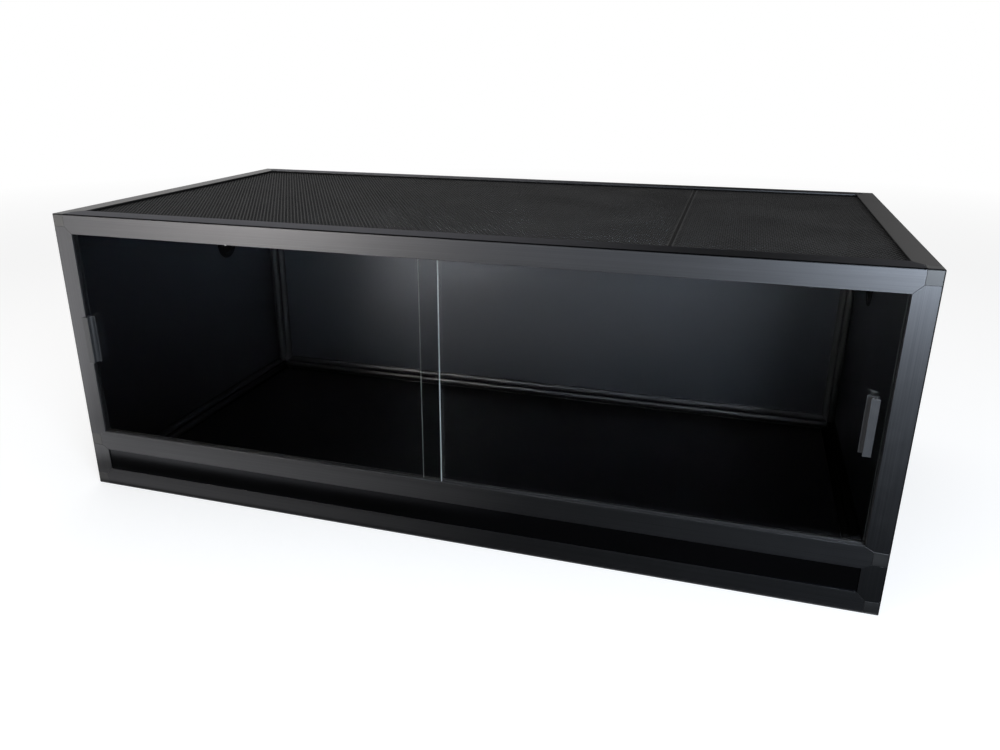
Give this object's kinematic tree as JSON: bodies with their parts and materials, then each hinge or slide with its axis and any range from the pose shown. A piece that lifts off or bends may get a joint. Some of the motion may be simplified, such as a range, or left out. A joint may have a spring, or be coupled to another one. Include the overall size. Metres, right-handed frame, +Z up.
{
  "type": "terrarium cabinet",
  "caption": "Low wide reptile enclosure: black aluminium frame, dark sheet walls, perforated metal top, and two overlapping glass doors that slide.",
  "frame": {"origin": "middle of the carcass's footprint, on the surface that it stands on", "axes": "+X to the right as seen from the doors, +Y towards the back panel, +Z up"},
  "size_m": [1.2192, 0.6207, 0.4572],
  "materials": {
    "frame": "black anodised, with a fine grain along each length",
    "connectors": "moulded black nylon, semi-gloss",
    "panels": "black PVC sheet, satin",
    "perforated_metal": "black powder coat",
    "rubber": "matt black",
    "tracks": "extruded black plastic, satin",
    "door_glass": "clear, with polished edges",
    "pulls": "extruded dark grey, satin",
    "foam_tape": "black adhesive foam"
  },
  "bodies": {
    "cabinet": {"bottom_front_rail": "frame", "bottom_rear_rail": "frame", "bottom_left_rail": "frame", "bottom_right_rail": "frame", "top_front_rail": "frame", "top_rear_rail": "frame", "top_left_rail": "frame", "top_right_rail": "frame", "middle_front_rail": "frame", "rear_left_post": "frame", "rear_right_post": "frame", "front_left_upper_post": "frame", "front_right_upper_post": "frame", "front_left_lower_post": "frame", "front_right_lower_post": "frame", "bottom_front_left_connector": "connectors", "bottom_front_right_connector": "connectors", "bottom_rear_left_connector": "connectors", "bottom_rear_right_connector": "connectors", "top_front_left_connector": "connectors", "top_front_right_connector": "connectors", "top_rear_left_connector": "connectors", "top_rear_right_connector": "connectors", "middle_left_connector": "connectors", "middle_right_connector": "connectors", "floor_panel": "panels", "back_panel": "panels", "left_panel": "panels", "right_panel": "panels", "lower_front_panel": "panels", "left_cable_grommet": "rubber", "right_cable_grommet": "rubber", "wide_mesh_sheet": "perforated_metal", "narrow_mesh_sheet": "perforated_metal", "mesh_seam_bar": "frame", "wide_front_edging": "rubber", "wide_rear_edging": "rubber", "narrow_front_edging": "rubber", "narrow_rear_edging": "rubber", "left_end_edging": "rubber", "right_end_edging": "rubber", "bottom_track": "tracks", "top_track": "tracks", "left_jamb_track": "tracks", "right_jamb_track": "tracks"},
    "left_door": {"left_glass_door": "door_glass", "left_door_pull": "pulls", "left_pull_tape": "foam_tape"},
    "right_door": {"right_glass_door": "door_glass", "right_door_pull": "pulls", "right_pull_tape": "foam_tape"}
  },
  "joints": [
    {"name": "left_door_slide", "type": "slide", "parent": "cabinet", "child": "left_door", "axis": [1, 0, 0], "range_m": [0, 0.2713]},
    {"name": "right_door_slide", "type": "slide", "parent": "cabinet", "child": "right_door", "axis": [1, 0, 0], "range_m": [-0.2713, 0.01]}
  ]
}
